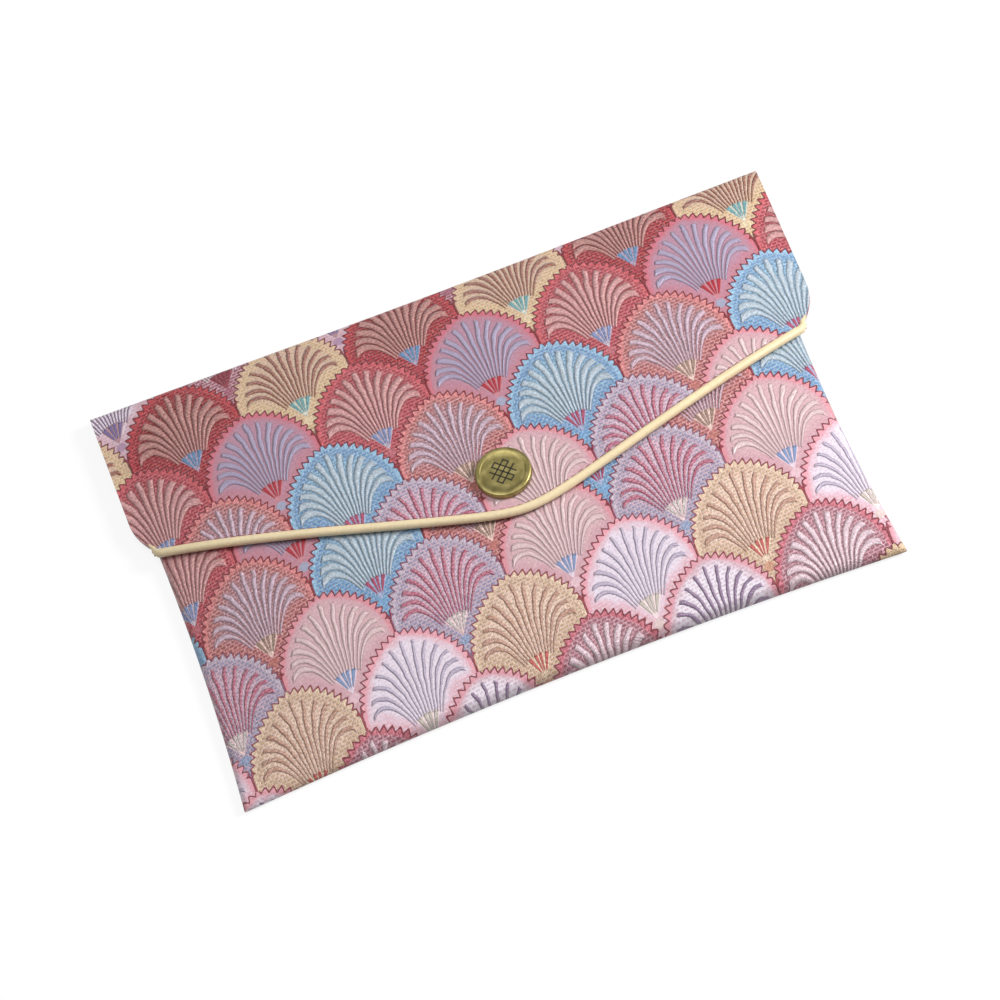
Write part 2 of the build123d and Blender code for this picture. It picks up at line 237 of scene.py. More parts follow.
# ---- shader maths ----------------------------------------------------
def feed(slot, value):
    """Gives a node's input a value, or a link where the value is a Socket."""
    if isinstance(value, Socket):
        value.tree.links.new(value.socket, slot)
    else:
        slot.default_value = value


def operator(operation):
    """A method that sends the socket and its other values through a Math node."""
    def method(self, *values):
        return self.maths(operation, self, *values)
    return method


class Socket:
    """A shader value that can be written in expressions."""

    def __init__(self, tree, socket):
        self.tree = tree
        self.socket = socket

    def maths(self, operation, *values):
        node = self.tree.nodes.new("ShaderNodeMath")
        node.operation = operation
        for slot, value in zip(node.inputs, values):
            feed(slot, value)
        return Socket(self.tree, node.outputs[0])

    __add__ = __radd__ = operator("ADD")
    __sub__ = operator("SUBTRACT")
    __mul__ = __rmul__ = operator("MULTIPLY")
    __truediv__ = operator("DIVIDE")
    __pow__ = operator("POWER")
    __lt__ = operator("LESS_THAN")
    __gt__ = operator("GREATER_THAN")
    __abs__ = operator("ABSOLUTE")
    floor = operator("FLOOR")
    at_least = operator("MAXIMUM")
    at_most = operator("MINIMUM")
    angle_from = operator("ARCTAN2")

    def __rsub__(self, other):
        return self.maths("SUBTRACT", other, self)

    def parity(self):
        """0 on even whole numbers and 1 on odd ones."""
        return self - 2 * (self * 0.5).floor()

    def wave(self, pitch):
        """Triangle wave of that pitch, from 0 at its whole steps to 1 half-way."""
        return self.maths("PINGPONG", self, pitch / 2) * (2 / pitch)

    def ramp_up(self, start, end):
        """Smooth step from 0 at start to 1 at end."""
        node = self.tree.nodes.new("ShaderNodeMapRange")
        node.interpolation_type = "SMOOTHSTEP"
        for key, value in (("Value", self), ("From Min", start), ("From Max", end)):
            feed(node.inputs[key], value)
        return Socket(self.tree, node.outputs[0])

    def ramp_down(self, start, end):
        return 1 - self.ramp_up(start, end)

    def or_else(self, mask, other):
        """Self where the mask is 1, other where it is 0."""
        return other + (self - other) * mask


class Finish:
    """A material in the making."""

    def __init__(self, name):
        self.material = bpy.data.materials.new(name)
        self.material.use_nodes = True
        self.tree = self.material.node_tree
        self.shader = self.tree.nodes["Principled BSDF"]

    def node(self, kind, settings=None, inputs=None, output=0):
        """Any node: its settings are set first, then its sockets get values or links."""
        made = self.tree.nodes.new(kind)
        for key, value in (settings or {}).items():
            if key == "stops":
                self.set_stops(made.color_ramp, value)
            else:
                setattr(made, key, value)
        for key, value in (inputs or {}).items():
            feed(made.inputs[key], value)
        return Socket(self.tree, made.outputs[output])

    def set_stops(self, ramp, stops):
        """Splits a colour ramp into even steps, one for each colour."""
        ramp.interpolation = "CONSTANT"
        while len(ramp.elements) > 1:
            ramp.elements.remove(ramp.elements[-1])
        for i, colour in enumerate(stops):
            element = ramp.elements[0] if i == 0 else ramp.elements.new(i / len(stops))
            element.position = i / len(stops)
            element.color = (*colour, 1)

    def place(self, scale=1):
        """The object's own coordinates, in units of 1 / scale metres."""
        coords = self.node("ShaderNodeTexCoord", output="Object")
        return self.node(
            "ShaderNodeVectorMath", {"operation": "SCALE"}, {0: coords, "Scale": scale})

    def parts(self, vector):
        """The three numbers of a vector or a colour."""
        split = self.node("ShaderNodeSeparateXYZ", None, {0: vector}).socket.node
        return [Socket(self.tree, output) for output in split.outputs]

    def vector(self, x, y, z):
        return self.node("ShaderNodeCombineXYZ", None, {0: x, 1: y, 2: z})

    def mix(self, mask, low, high, blend="MIX"):
        """Colour low where the mask is 0, high (or their blend) where it is 1."""
        return self.node("ShaderNodeMix", {"data_type": "RGBA", "blend_type": blend},
                         {0: mask, 6: rgba(low), 7: rgba(high)}, output=2)

    def noise(self, vector, scale, detail=2.0):
        """Noise from 0 to 1 whose blots are about 1 / scale across."""
        return self.node(
            "ShaderNodeTexNoise", None, {"Vector": vector, "Scale": scale, "Detail": detail})

    def bump(self, height, distance, strength=1.0):
        return self.node(
            "ShaderNodeBump", None, {"Height": height, "Distance": distance, "Strength": strength})

    def finish(self, **sockets):
        """Sets the shader's own sockets, named with _ for a space, and returns the material."""
        for key, value in sockets.items():
            feed(self.shader.inputs[key.replace("_", " ")], value)
        return self.material


def rgba(colour):
    return colour if isinstance(colour, Socket) else (*colour, 1)


def toned(colour, gain):
    """A colour made darker or lighter."""
    return tuple(c * gain for c in colour)


def dye(red, green, blue):
    """A colour given as it looks on a screen, from 0 to 255, made linear for the shader."""
    return tuple((c / 255) ** 2.2 for c in (red, green, blue))


# ---- brocade ---------------------------------------------------------
class Shell:
    """One kind of shell in the cloth's repeat. Each dye is red, green and blue from 0 to 255."""
    PARTS = (
        "margin",      # ground near the outline
        "heart",       # ground in the middle
        "ribs",
        "root",        # ground of the small fan at the foot
        "strokes",     # strokes of that fan
        "knot",        # spot under the fan
        "twill",       # dashes of weft on the ground
        "band",        # narrow band inside the outline
        "outline",
    )

    def __init__(self, *dyes, coarse, bold):
        """coarse runs from 0, smooth satin, to 1, a coarse weave; bold from thin ribs to wide."""
        for part, colour in zip(self.PARTS, dyes, strict=True):
            setattr(self, part, dye(*colour))
        self.weave = (coarse, bold, 0)


ROSE = Shell(
    (180, 60, 68), (136, 34, 36), (184, 140, 134), (170, 150, 176), (96, 140, 180),
    (170, 64, 76), (114, 16, 29), (194, 72, 78), (122, 20, 36), coarse=1.0, bold=0.9)
CREAM = Shell(
    (220, 194, 160), (214, 184, 166), (128, 62, 50), (200, 202, 188), (104, 156, 162),
    (224, 202, 168), (194, 156, 116), (216, 182, 154), (120, 46, 48), coarse=0.7, bold=0.3)
ROSE_LOW = Shell(
    (192, 92, 101), (166, 84, 88), (198, 154, 152), (188, 172, 188), (122, 136, 182),
    (186, 104, 112), (144, 40, 54), (210, 98, 104), (132, 32, 46), coarse=0.9, bold=0.9)
MAUVE = Shell(
    (182, 124, 136), (172, 136, 154), (154, 146, 172), (190, 124, 134), (168, 34, 50),
    (146, 158, 182), (182, 120, 138), (202, 106, 120), (136, 26, 38), coarse=0.1, bold=0.6)
CORAL = Shell(
    (202, 131, 127), (177, 136, 143), (192, 170, 186), (230, 196, 186), (150, 120, 104),
    (184, 108, 100), (146, 76, 77), (228, 138, 138), (136, 34, 46), coarse=1.0, bold=0.5)
SKY = Shell(
    (133, 161, 191), (146, 180, 202), (174, 182, 190), (160, 168, 200), (168, 62, 92),
    (118, 160, 200), (90, 136, 188), (156, 194, 220), (134, 32, 50), coarse=0.8, bold=0.9)
LILAC = Shell(
    (190, 173, 187), (222, 186, 198), (160, 64, 92), (230, 198, 200), (200, 190, 188),
    (144, 160, 192), (136, 134, 170), (204, 186, 200), (150, 84, 116), coarse=1.0, bold=0.3)
PINK = Shell(
    (196, 151, 160), (202, 167, 171), (207, 180, 182), (214, 194, 208), (112, 136, 178),
    (216, 180, 190), (198, 154, 164), (214, 130, 140), (136, 36, 52), coarse=0.15, bold=0.5)
GOLD = Shell(
    (213, 183, 164), (234, 204, 188), (166, 120, 102), (228, 202, 176), (190, 84, 82),
    (196, 140, 114), (186, 152, 116), (230, 202, 176), (160, 56, 70), coarse=0.8, bold=0.25)
PEARL = Shell(
    (214, 161, 171), (219, 207, 220), (166, 153, 174), (230, 208, 208), (186, 176, 166),
    (206, 186, 180), (210, 186, 200), (222, 146, 158), (136, 36, 52), coarse=0.15, bold=0.12)
PLUM = Shell(
    (187, 137, 147), (186, 136, 147), (211, 190, 198), (146, 64, 74), (130, 50, 64),
    (160, 96, 112), (132, 67, 83), (206, 106, 120), (130, 34, 52), coarse=0.7, bold=0.8)
FROST = Shell(
    (205, 168, 177), (223, 214, 225), (116, 86, 120), (172, 132, 140), (112, 100, 150),
    (164, 132, 160), (190, 157, 171), (214, 138, 150), (132, 32, 50), coarse=0.15, bold=0.15)

# the repeat of the cloth: six rows of shells, two kinds in turn along each row
REPEAT = [ROSE, CREAM, MAUVE, ROSE_LOW, CORAL, SKY, PINK, LILAC, GOLD, PEARL, PLUM, FROST]
ROWS = len(REPEAT) / 2

# sizes of a shell in mm
DOME = 16.2              # half width of a shell
DOME_POINT = 5.0         # how far the two sides' arcs cross over
DOME_ARC = DOME + DOME_POINT   # radius of those arcs
DOME_RISE = math.sqrt(DOME_ARC ** 2 - DOME_POINT ** 2)
FOOT = 30.5              # top of a shell to the foot of its ribs
ZIGZAG = 0.72            # height of the outline's teeth
ROOT = 6.5               # radius of the small fan at the foot
RIB_GAP = 2.3            # from the ends of the ribs to the outline
RIB_ANGLE = 0.129        # between two ribs where they leave the foot, radians
RIB_LAST = 6.5           # where the ribs end on each side, counted from the middle one
NARROWEST = 0.62         # share of their way at which the ribs lie closest together
DASH_ROW, DASH = 0.98, 1.5     # pitch and length of the weft's dashes
WARP, WEFT = 0.42, 0.46        # pitch of the threads
BEAD = 0.62              # pitch of the threads across a rib


def shell_domes(u, v):
    """Which shell lies on top at (u, v), in mm.

    Returns the place from the shell's foot, its row and column, the distance out past its toothed
    outline, and the distances in from the nearest outline and from its own.
    """
    settings = bpy.context.scene.envelope_shells
    column, row = settings.column_pitch, settings.row_pitch
    near = (v / row).floor()
    depth = v - near * row
    odd = near.parity()

    def across(shift):
        place = u / column - 0.5 * shift
        number = (place + 0.5).floor()
        return (place - number) * column, number

    x_near, column_near = across(odd)
    x_far, column_far = across(1 - odd)
    side = abs(x_near) + DOME_POINT
    rise = (DOME_RISE - depth).at_least(0)
    inside = (side * side + rise * rise) ** 0.5 - DOME_ARC
    along = side.angle_from(rise) * DOME_ARC
    teeth = (along - math.atan2(DOME_POINT, DOME_RISE) * DOME_ARC).wave(settings.tooth)
    teeth = (teeth + teeth.ramp_up(0, 1)) * 0.5
    calm = (column / 2 - abs(x_near)).ramp_up(0.1, 1.4)
    edge = (inside + (teeth - 0.5) * ZIGZAG * 2 * calm).at_least(abs(x_near) - column / 2)
    on_near = edge < 0
    below = (abs(x_far) + DOME_POINT) ** 2 + (row + DOME_RISE - depth) ** 2
    below = below ** 0.5 - DOME_ARC
    x = x_near.or_else(on_near, x_far)
    number = column_near.or_else(on_near, column_far)
    line = near - (1 - on_near)
    depth = depth + (1 - on_near) * row
    inner = below.at_most(0 - inside).or_else(on_near, inside.at_most(DOME - abs(x_far)))
    own = (0 - inside).or_else(on_near, DOME - 0.2 - abs(x_far))
    return x, FOOT - depth, line, number, edge, inner, own


def brocade_finish():
    """The pattern of shells, woven on the strip of cloth that the UV map unrolls."""
    finish = Finish("brocade_shells")
    place = finish.node("ShaderNodeUVMap", {"uv_map": STRIP})
    u, v, _ = [axis * PER_METRE for axis in finish.parts(place)]
    x, y, line, number, edge, inner, own = shell_domes(u, v)

    kind = (line - ROWS * (line / ROWS).floor()) * 2 + number.parity()
    choice = (kind + 0.5) / len(REPEAT)

    def dyes(part):
        stops = [getattr(shell, part) for shell in REPEAT]
        return finish.node("ShaderNodeValToRGB", {"stops": stops}, {0: choice})

    coarse, bold, _ = finish.parts(dyes("weave"))
    wander = finish.noise(place, 260, 3)
    grain = finish.noise(place, 1500, 3)

    # ribs start side by side on the foot's fan and spread like a palm leaf
    reach = (x * x + y * y) ** 0.5
    way = (reach / (reach + own - RIB_GAP).at_least(1)).at_most(1.1)
    spread = reach * RIB_ANGLE * (0.7 + 2.1 * (way - NARROWEST) ** 2)
    rib = x / spread + (wander - 0.5) * 0.5
    off_rib = rib - (rib + 0.5).floor()
    width = (spread * (0.2 + 0.24 * bold)).at_most(0.34 + 0.48 * bold)
    share = abs(off_rib) * spread / width + (grain - 0.5) * (0.3 + 0.7 * coarse)
    own = own + (wander - 0.5) * 0.8
    on_fan = own.ramp_up(2.6, 3.2) * reach.ramp_up(ROOT - 0.3, ROOT + 0.3) * (y > 0) * (
        abs(rib) < RIB_LAST)
    rib_mask = share.ramp_down(0.82, 1.08) * on_fan
    ridge = ((1 - share * share).at_least(0) ** 0.5) * on_fan
    # narrow bands just outside each rib's edge, where the colour is darkened below as painted shade
    # of the grooves
    painted_groove_shade = share.ramp_up(0.75, 1.0) * share.ramp_down(1.15, 1.5) * on_fan

    # the foot's fan with its strokes, the knot under it, and the outline with the band inside it
    angle = abs(x).angle_from(y)
    root_mask = reach.ramp_down(ROOT, ROOT + 0.5) * (angle < 0.52) * (y > 0)
    stroke_mask = root_mask * reach.ramp_up(1.6, 2.4) * (
        abs(angle - 0.1).ramp_down(0.05, 0.085).at_least(abs(angle - 0.37).ramp_down(0.06, 0.1)))
    knot_mask = ((x * x + (y + 1.3) ** 2) ** 0.5).ramp_down(1.2, 1.6)
    outline_mask = abs(edge + (grain - 0.5) * 0.5).ramp_down(0.18, 0.38)
    band_mask = (0 - edge).ramp_up(0.2, 0.5) * own.ramp_down(0.9, 1.9)

    # rows of short dashes on the ground, each row half a step on from the last
    run = (u + (v / DASH_ROW).floor() * DASH * 0.53).wave(DASH)
    dashes = v.wave(DASH_ROW).ramp_up(0.3, 0.6) * run.ramp_up(0.2, 0.4)
    heart = ((inner + (wander - 0.5) * 5) / (0.55 + 0.45 * coarse)).ramp_up(1.2, 6.5)
    twill_mask = dashes * (1 - heart * 0.35) * (1 - rib_mask)

    colour = finish.mix(heart, dyes("margin"), dyes("heart"))
    for mask, part in (
            (grain.ramp_up(0.5, 0.62) * coarse * 0.38, "ribs"),
            (twill_mask * 0.85, "twill"),
            (band_mask * 0.75, "band"),
            (rib_mask * (0.88 - 0.34 * dashes * coarse), "ribs"),
            (root_mask, "root"),
            (stroke_mask * 0.95, "strokes"),
            (knot_mask * 0.85, "knot"),
            (outline_mask * 0.95, "outline")):
        colour = finish.mix(mask, colour, dyes(part))

    warp = u.wave(WARP)
    weft = v.wave(WEFT)
    speck = (grain - 0.5) * (0.5 + 1.0 * coarse)
    # the weave's threads and grain vary the tone; on top of that comes painted relief: a painted
    # highlight along each rib's crest and painted shade in the grooves beside it
    shade = (0.90 + 0.06 * warp + 0.05 * weft + speck) * (
        1 + 0.10 * ridge - 0.26 * painted_groove_shade * (0.35 + 0.65 * bold))
    beads = reach.wave(BEAD) * ridge
    height = (
        ridge * (0.42 + 0.18 * coarse) + beads * 0.12 + outline_mask * 0.45 + stroke_mask * 0.4
        + twill_mask * coarse * 0.2
        + (warp * 0.06 + weft * 0.06 + grain * 0.3) * (0.3 + 0.7 * coarse))
    return finish.finish(
        Base_Color=finish.mix(1.0, colour, finish.vector(shade, shade, shade), "MULTIPLY"),
        Roughness=0.38 + 0.14 * coarse - 0.06 * rib_mask + (wander - 0.5) * 0.1,
        Normal=finish.bump(height, 0.9 * MM),
        Sheen_Weight=0.25,
        Sheen_Roughness=0.35,
        Specular_IOR_Level=0.6,
    )


# ---- plain finishes --------------------------------------------------
def satin_finish(name, colour, roughness, thread):
    """Plain satin: fine ribs of warp, thread mm apart, a little slub and a slow change of tone."""
    finish = Finish(name)
    x, y, z = finish.parts(finish.place(PER_METRE))
    place = finish.place()
    slub = finish.noise(place, 900)
    tone = finish.noise(place, 60)
    warp = (x + y * 0.9 + z * 0.5).wave(thread)
    pale = tuple(min(1, c * 1.12 + 0.02) for c in colour)
    mask = tone.ramp_up(0.3, 0.7) * 0.12 + slub * 0.5 + warp * 0.2
    return finish.finish(
        Base_Color=finish.mix(mask, toned(colour, 0.72), pale),
        Roughness=roughness + (slub - 0.5) * 0.15,
        Normal=finish.bump(warp * 0.5 + slub * 0.5, 0.08 * MM, 0.6),
        Sheen_Weight=0.06,
        Specular_IOR_Level=0.4,
    )


def thread_finish(name, colour):
    """Twisted sewing thread."""
    finish = Finish(name)
    x, y, z = finish.parts(finish.place(PER_METRE))
    twist = (x * 1.3 + y * 1.1 + z * 0.8).wave(0.3)
    return finish.finish(
        Base_Color=finish.mix(twist, toned(colour, 0.6), colour),
        Roughness=0.5 + 0.1 * twist,
        Normal=finish.bump(twist, 0.05 * MM, 0.6),
    )


def brass_finish(name, colour, dark, roughness):
    """Antique brass: worn bright in places, darker between them, with fine scratches."""
    finish = Finish(name)
    place = finish.place()
    cloud = finish.noise(place, 420, 4)
    fine = finish.noise(place, 5200)
    x, y, z = finish.parts(finish.place(PER_METRE))
    scratch = finish.noise(finish.vector(x * 5, y * 0.4, z), 1.4, 3)
    worn = cloud.ramp_up(0.35, 0.7)
    return finish.finish(
        Base_Color=finish.mix(worn * 0.8 + (scratch - 0.5) * 0.5, dark, colour),
        Metallic=0.95 - 0.1 * cloud,
        Roughness=roughness + (cloud - 0.5) * 0.15 + (fine - 0.5) * 0.1,
        Normal=finish.bump(scratch * 0.3 + fine * 0.5, 0.03 * MM, 0.4),
    )


def patina_finish(name):
    """The near-black of the fret's bars."""
    finish = Finish(name)
    speck = finish.noise(finish.place(), 3000)
    return finish.finish(
        Base_Color=finish.mix(speck, (0.018, 0.016, 0.008), (0.05, 0.042, 0.02)),
        Roughness=0.5 + 0.2 * speck, Metallic=0.5 * speck)


# ---- meshes and pieces -----------------------------------------------
def stacked(*axes):
    """One array of points from an array for each axis."""
    return np.stack(axes, axis=-1)


def unit_rows(vectors):
    return vectors / np.linalg.norm(vectors, axis=1)[:, None]


def link(name, data):
    """Puts a mesh, curve, lamp or camera into the scene."""
    obj = bpy.data.objects.new(name, data)
    bpy.context.scene.collection.objects.link(obj)
    return obj


def link_work(name, work):
    """Turns a bmesh into an object whose faces point outwards."""
    bmesh.ops.recalc_face_normals(work, faces=work.faces)
    mesh = bpy.data.meshes.new(name)
    work.to_mesh(mesh)
    work.free()
    return link(name, mesh)


def bridge(work, rings):
    """Faces from each ring of vertices to the next; a ring of one vertex is a pole."""
    for one, two in zip(rings, rings[1:]):
        count = max(len(one), len(two))
        for i in range(count):
            j = (i + 1) % count
            corners = (one[i % len(one)], one[j % len(one)], two[j % len(two)], two[i % len(two)])
            work.faces.new(tuple(dict.fromkeys(corners)))


def evaluated_mesh(obj):
    """What the object's modifiers give, as a plain mesh. The modifiers go."""
    graph = bpy.context.evaluated_depsgraph_get()
    mesh = bpy.data.meshes.new_from_object(obj.evaluated_get(graph))
    obj.modifiers.clear()
    return mesh


def give(obj, material):
    obj.data.materials.clear()
    obj.data.materials.append(material)


# ---- cloth shapes ----------------------------------------------------
def swell(distance, half):
    """1 in the middle, falling slowly at first to 0 at half."""
    return 1 - np.clip(np.abs(distance) / half, 0, 1) ** 4


def crown_height(x, y):
    """How far the filling lifts the front at a place."""
    return CROWN * swell(x, CROWN_HALF_X) * swell(y, CROWN_HALF_Y)


def smooth(t):
    """A share made to start and end gently."""
    t = np.clip(t, 0, 1)
    return t * t * (3 - 2 * t)


def waves(x, y, seed):
    """Slow waves of slack cloth, -1 to 1, the same each run."""
    count = 5
    total = np.zeros_like(x)
    for k in range(count):
        angle = 0.9 * k + seed
        length = (31 + 9 * k) * MM
        run = x * np.cos(angle) + y * np.sin(angle)
        total += np.sin(run / length * math.tau + 2.1 * k + seed)
    return total / count


def top_line(x):
    """y of the top fold."""
    return HALF_H - cloth_settings().top_bow * (1 - (x / HALF_W) ** 2)


def bottom_line(x):
    """y of the bottom fold."""
    settings = cloth_settings()
    return -HALF_H + settings.bottom_bow * (1 - (x / HALF_W) ** 2) + settings.foot_lean * x / HALF_W


def side_half(y, right):
    """Half width of the pouch at y, on its right side or its left."""
    settings = cloth_settings()
    bow = 1 - (y / HALF_H) ** 2
    lean = settings.right_lean * (HALF_H - y) / (2 * HALF_H)
    pull = np.where(right, settings.right_bow * bow + lean, settings.left_bow * bow)
    return HALF_W - pull + np.where(right, -settings.shift, settings.shift)


def edge_rows(length):
    """Distances from a rolled edge: close together where the cloth turns, then even."""
    roll, step = cloth_settings().edge_roll, cloth_settings().step
    turning = [roll * (1 - math.cos(math.radians(a))) for a in range(0, 90, 12)]
    count = max(2, round((length - roll) / step))
    return np.array(turning + [roll + (length - roll) * i / count for i in range(count + 1)])


def columns(half):
    """Shares of a sheet's half width, -1 to 1, closer together at its sides."""
    left = -1 + edge_rows(half) / half
    return np.concatenate([left, -left[-2::-1]])


def roll_share(distance):
    """0 at a rolled edge, rising along a quarter circle to 1 where the roll ends."""
    t = 1 - np.clip(distance / cloth_settings().edge_roll, 0, 1)
    return np.sqrt(1 - t * t)


def roll_surplus(roll):
    """How much longer a quarter circle is than it looks from above."""
    return (math.pi / 2 - 1) * roll


class Strip:
    """Places on the one strip of brocade that runs from the mouth round both folds to the flap."""
    FRONT_TILT = 0.1285      # slope of the shell rows against the folds
    FLAP_TILT = 0.0937
    FLAP_LEAN = 0.05         # how far the flap's shells lean to the left on their way down
    FOOT = 116.3 * MM        # place along the strip of the bottom fold
    FRONT_GAIN = 0.987       # how far the cloth is stretched along its length
    FLAP_START = 253.9 * MM  # place along it where the flap begins
    FLAP_GAIN = 1.009
    FRONT_ACROSS = 71.7 * MM   # place across the strip of its middle line
    FLAP_ACROSS = 74.0 * MM

    @classmethod
    def front(cls, x, y, turned):
        """turned is how much longer the cloth is round the bottom roll than it looks from above."""
        x = x + cloth_settings().shift
        along = cls.FOOT - (y + HALF_H) * cls.FRONT_GAIN + turned + cls.FRONT_TILT * x
        return stacked(cls.FRONT_ACROSS + x, along)

    @classmethod
    def back(cls, x, y, beyond=0.0):
        """The back and the fold beyond it, spread evenly from the front to the flap."""
        turn = roll_surplus(FOLD_ROLL)
        foot = bottom_line(x)
        share = (y - foot + beyond) / (top_line(x) - foot + turn)
        first = cls.front(x, foot, roll_surplus(cloth_settings().edge_roll))
        last = cls.flap(x, HALF_H - top_line(x) - turn)
        return first + (last - first) * share[..., None]

    @classmethod
    def flap(cls, x, below_fold):
        x = x + cloth_settings().shift
        return stacked(cls.FLAP_ACROSS + x - cls.FLAP_LEAN * below_fold,
                       cls.FLAP_START + cls.FLAP_GAIN * below_fold + cls.FLAP_TILT * x)


def sheet_mesh(name, points, strip):
    """A sheet of quads from rows of points, with its places on the strip as a UV map."""
    across = points.shape[1]
    index = np.arange(points.size // 3).reshape(-1, across)
    faces = stacked(index[:-1, :-1], index[:-1, 1:], index[1:, 1:], index[1:, :-1])
    mesh = bpy.data.meshes.new(name)
    mesh.from_pydata(points.reshape(-1, 3).tolist(), [], faces.reshape(-1, 4).tolist())
    layer = mesh.uv_layers.new(name=STRIP)
    corners = np.empty(len(mesh.loops), dtype=np.int32)
    mesh.loops.foreach_get("vertex_index", corners)
    layer.data.foreach_set("uv", strip.reshape(-1, 2)[corners].astype(np.float32).ravel())
    mesh.shade_smooth()
    return mesh


def thicken(obj, thickness):
    """Gives a sheet its thickness, inwards from its outer face, as a plain mesh."""
    solid = obj.modifiers.new("thickness", "SOLIDIFY")
    solid.thickness = thickness
    solid.offset = -1
    solid.use_even_offset = False
    old, obj.data = obj.data, evaluated_mesh(obj)
    bpy.data.meshes.remove(old)
    return obj


FRONT_WAVES, FLAP_WAVES = 1.7, 4.1   # seeds, so that the front and the flap differ
FLAP_CALM = 0.7          # height of the flap's waves against the front's


def slack(x, y, seed):
    """Height of the slack cloth's waves, which die out towards the edges."""
    return cloth_settings().slack * waves(x, y, seed) * swell(x, HALF_W) * swell(y, HALF_H)


def front_height(x, y, level):
    """Outer face of the pouch front, pressed in under the snap."""
    z = level + crown_height(x, y) + slack(x, y, FRONT_WAVES)
    away = np.hypot(x, y - SNAP_Y)
    inside = 1 - smooth((away - DIMPLE_FLOOR) / (DIMPLE_REACH - DIMPLE_FLOOR))
    floor = STUD_SEAT + level - FRONT_LEVEL
    return z + (floor - z) * inside


def pouch_sheet(name, inset, level):
    """Cloth from the mouth down the front, round the bottom fold and up the back.

    It lies inset inside the pouch's outer faces, with its front at that level at its edges.
    """
    edge_roll = cloth_settings().edge_roll
    across = columns(HALF_W)
    rise = edge_rows(2 * HALF_H)

    def place(rows):
        s, d = np.meshgrid(across, rows)
        up = d / (2 * HALF_H)
        y0 = -HALF_H + inset + d * (2 * HALF_H - inset) / (2 * HALF_H)
        x = s * side_half(y0, s > 0) * ((HALF_W - inset) / HALF_W)
        y = y0 + (bottom_line(x) + HALF_H) * (1 - up) - (HALF_H - top_line(x)) * up
        lean = 1 - np.clip(d / edge_roll, 0, 1)
        turned = (np.arcsin(lean) - lean) * edge_roll
        return x, y, roll_share(HALF_W * (1 - np.abs(s))) * roll_share(d), turned

    middle = FRONT_LEVEL / 2
    joined = bmesh.new()
    x, y, roll, turned = place(rise[rise <= MOUTH_Y + HALF_H][::-1])
    z = middle + (front_height(x, y, level) - middle) * roll
    sheet = sheet_mesh(name, stacked(x, y, z), Strip.front(x, y, turned))
    joined.from_mesh(sheet)
    x, y, roll, _ = place(rise[rise <= BACK_SPLIT + HALF_H])
    z = middle + (inset - middle) * roll
    back = sheet_mesh(name + "_back", stacked(x, y, z), Strip.back(x, y))
    joined.from_mesh(back)
    bpy.data.meshes.remove(back)
    bmesh.ops.remove_doubles(joined, verts=joined.verts, dist=1e-6)
    for face in joined.faces:
        face.smooth = True
        face.normal_update()
    bmesh.ops.recalc_face_normals(joined, faces=joined.faces)
    lowest = min(joined.faces, key=lambda face: face.calc_center_median().z)
    if lowest.normal.z > 0:
        bmesh.ops.reverse_faces(joined, faces=joined.faces)
    joined.to_mesh(sheet)
    joined.free()
    return link(name, sheet)


class ENVELOPE_OT_pouch(bpy.types.Operator):
    """Pouch: the outer cloth folded at the bottom and sewn at both sides, and its satin pocket"""
    bl_idname = "envelope.pouch"
    bl_label = "Pouch"

    def execute(self, context):
        brocade = brocade_finish()
        cloth = thicken(pouch_sheet("pouch_cloth", 0, FRONT_LEVEL), STACK)
        give(cloth, brocade)
        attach(cloth, "pouch")
        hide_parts("brocade_pouch", "back_interlining", "front_interlining")
        satin = satin_finish("lining_satin", trim_settings().lining_colour, 0.32, 0.3)
        pocket = thicken(
            pouch_sheet("pocket_satin", LINING_DEPTH, FRONT_LEVEL - LINING_DEPTH), SATIN)
        give(pocket, satin)
        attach(pocket, "pouch")
        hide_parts("pocket_lining")
        return {"FINISHED"}


# ---- flap and top fold -----------------------------------------------
def flap_edge(x):
    """Lower edge of the flap as it lies: two straight arms that meet in a round tip."""
    away = x - TIP_X
    return TIP_Y + ARM_SLOPE * np.sqrt(away ** 2 + TIP_ROUND ** 2) - ARM_SKEW * away


def flap_side(y, right):
    """Half width of the flap at y: a little wider than the pouch, drawn in where its arms end."""
    start = np.where(right, RIGHT_START, LEFT_START)
    drawn = np.where(right, RIGHT_DRAW, LEFT_DRAW)
    cut = np.minimum(np.maximum(start - y, 0) ** 2 * DRAW_IN, drawn)
    return HALF_W + FLAP_OVERHANG - cut + np.where(right, -1, 1) * cloth_settings().shift


def flap_height(x, y, level):
    """A layer of the flap, at that level where the filling doesn't lift it."""
    return level + crown_height(x, y) + slack(x, y, FLAP_WAVES) * FLAP_CALM


def fold_row(x, fold, angle, depth):
    """A row of the top fold, depth inside its outer face; angle 0 is its outermost line."""
    y = fold - FOLD_ROLL + (FOLD_ROLL - depth) * math.cos(angle)
    top = flap_height(x, fold - FOLD_ROLL, FLAP_LEVEL)
    return stacked(x, y, top / 2 + (top / 2 - depth) * math.sin(angle))


def sheet_of_rows(name, rows, strip):
    """A piece from lists of rows, turned round so that its faces point outwards."""
    return link(name, sheet_mesh(name, np.array(rows)[:, ::-1], np.array(strip)[:, ::-1]))


def flap_sheet(name, depth):
    """Upper half of the top fold and the flap, depth inside its outer face."""
    s = columns(FLAP_HALF_W)
    x = s * flap_side(HALF_H, s > 0)
    fold = top_line(x)
    rows = []
    strip = []
    for angle in np.radians([0, 2, 12, 25, 38, 51, 64, 77, 90]):
        rows.append(fold_row(x, fold, angle, depth))
        below = HALF_H - fold + FOLD_ROLL + (angle - math.pi / 2) * FOLD_ROLL
        strip.append(Strip.flap(x, below))
    count = round((HALF_H - POINT_Y) / cloth_settings().step)
    start = top_line(s * HALF_W) - FOLD_ROLL
    edge = flap_edge(s * flap_side(0, s > 0))
    for i in range(1, count + 1):
        y = start + (edge - start) * (i / count)
        x = s * flap_side(y, s > 0)
        rows.append(stacked(x, y, flap_height(x, y, FLAP_LEVEL - depth)))
        strip.append(Strip.flap(x, HALF_H - y))
    return sheet_of_rows(name, rows, strip)


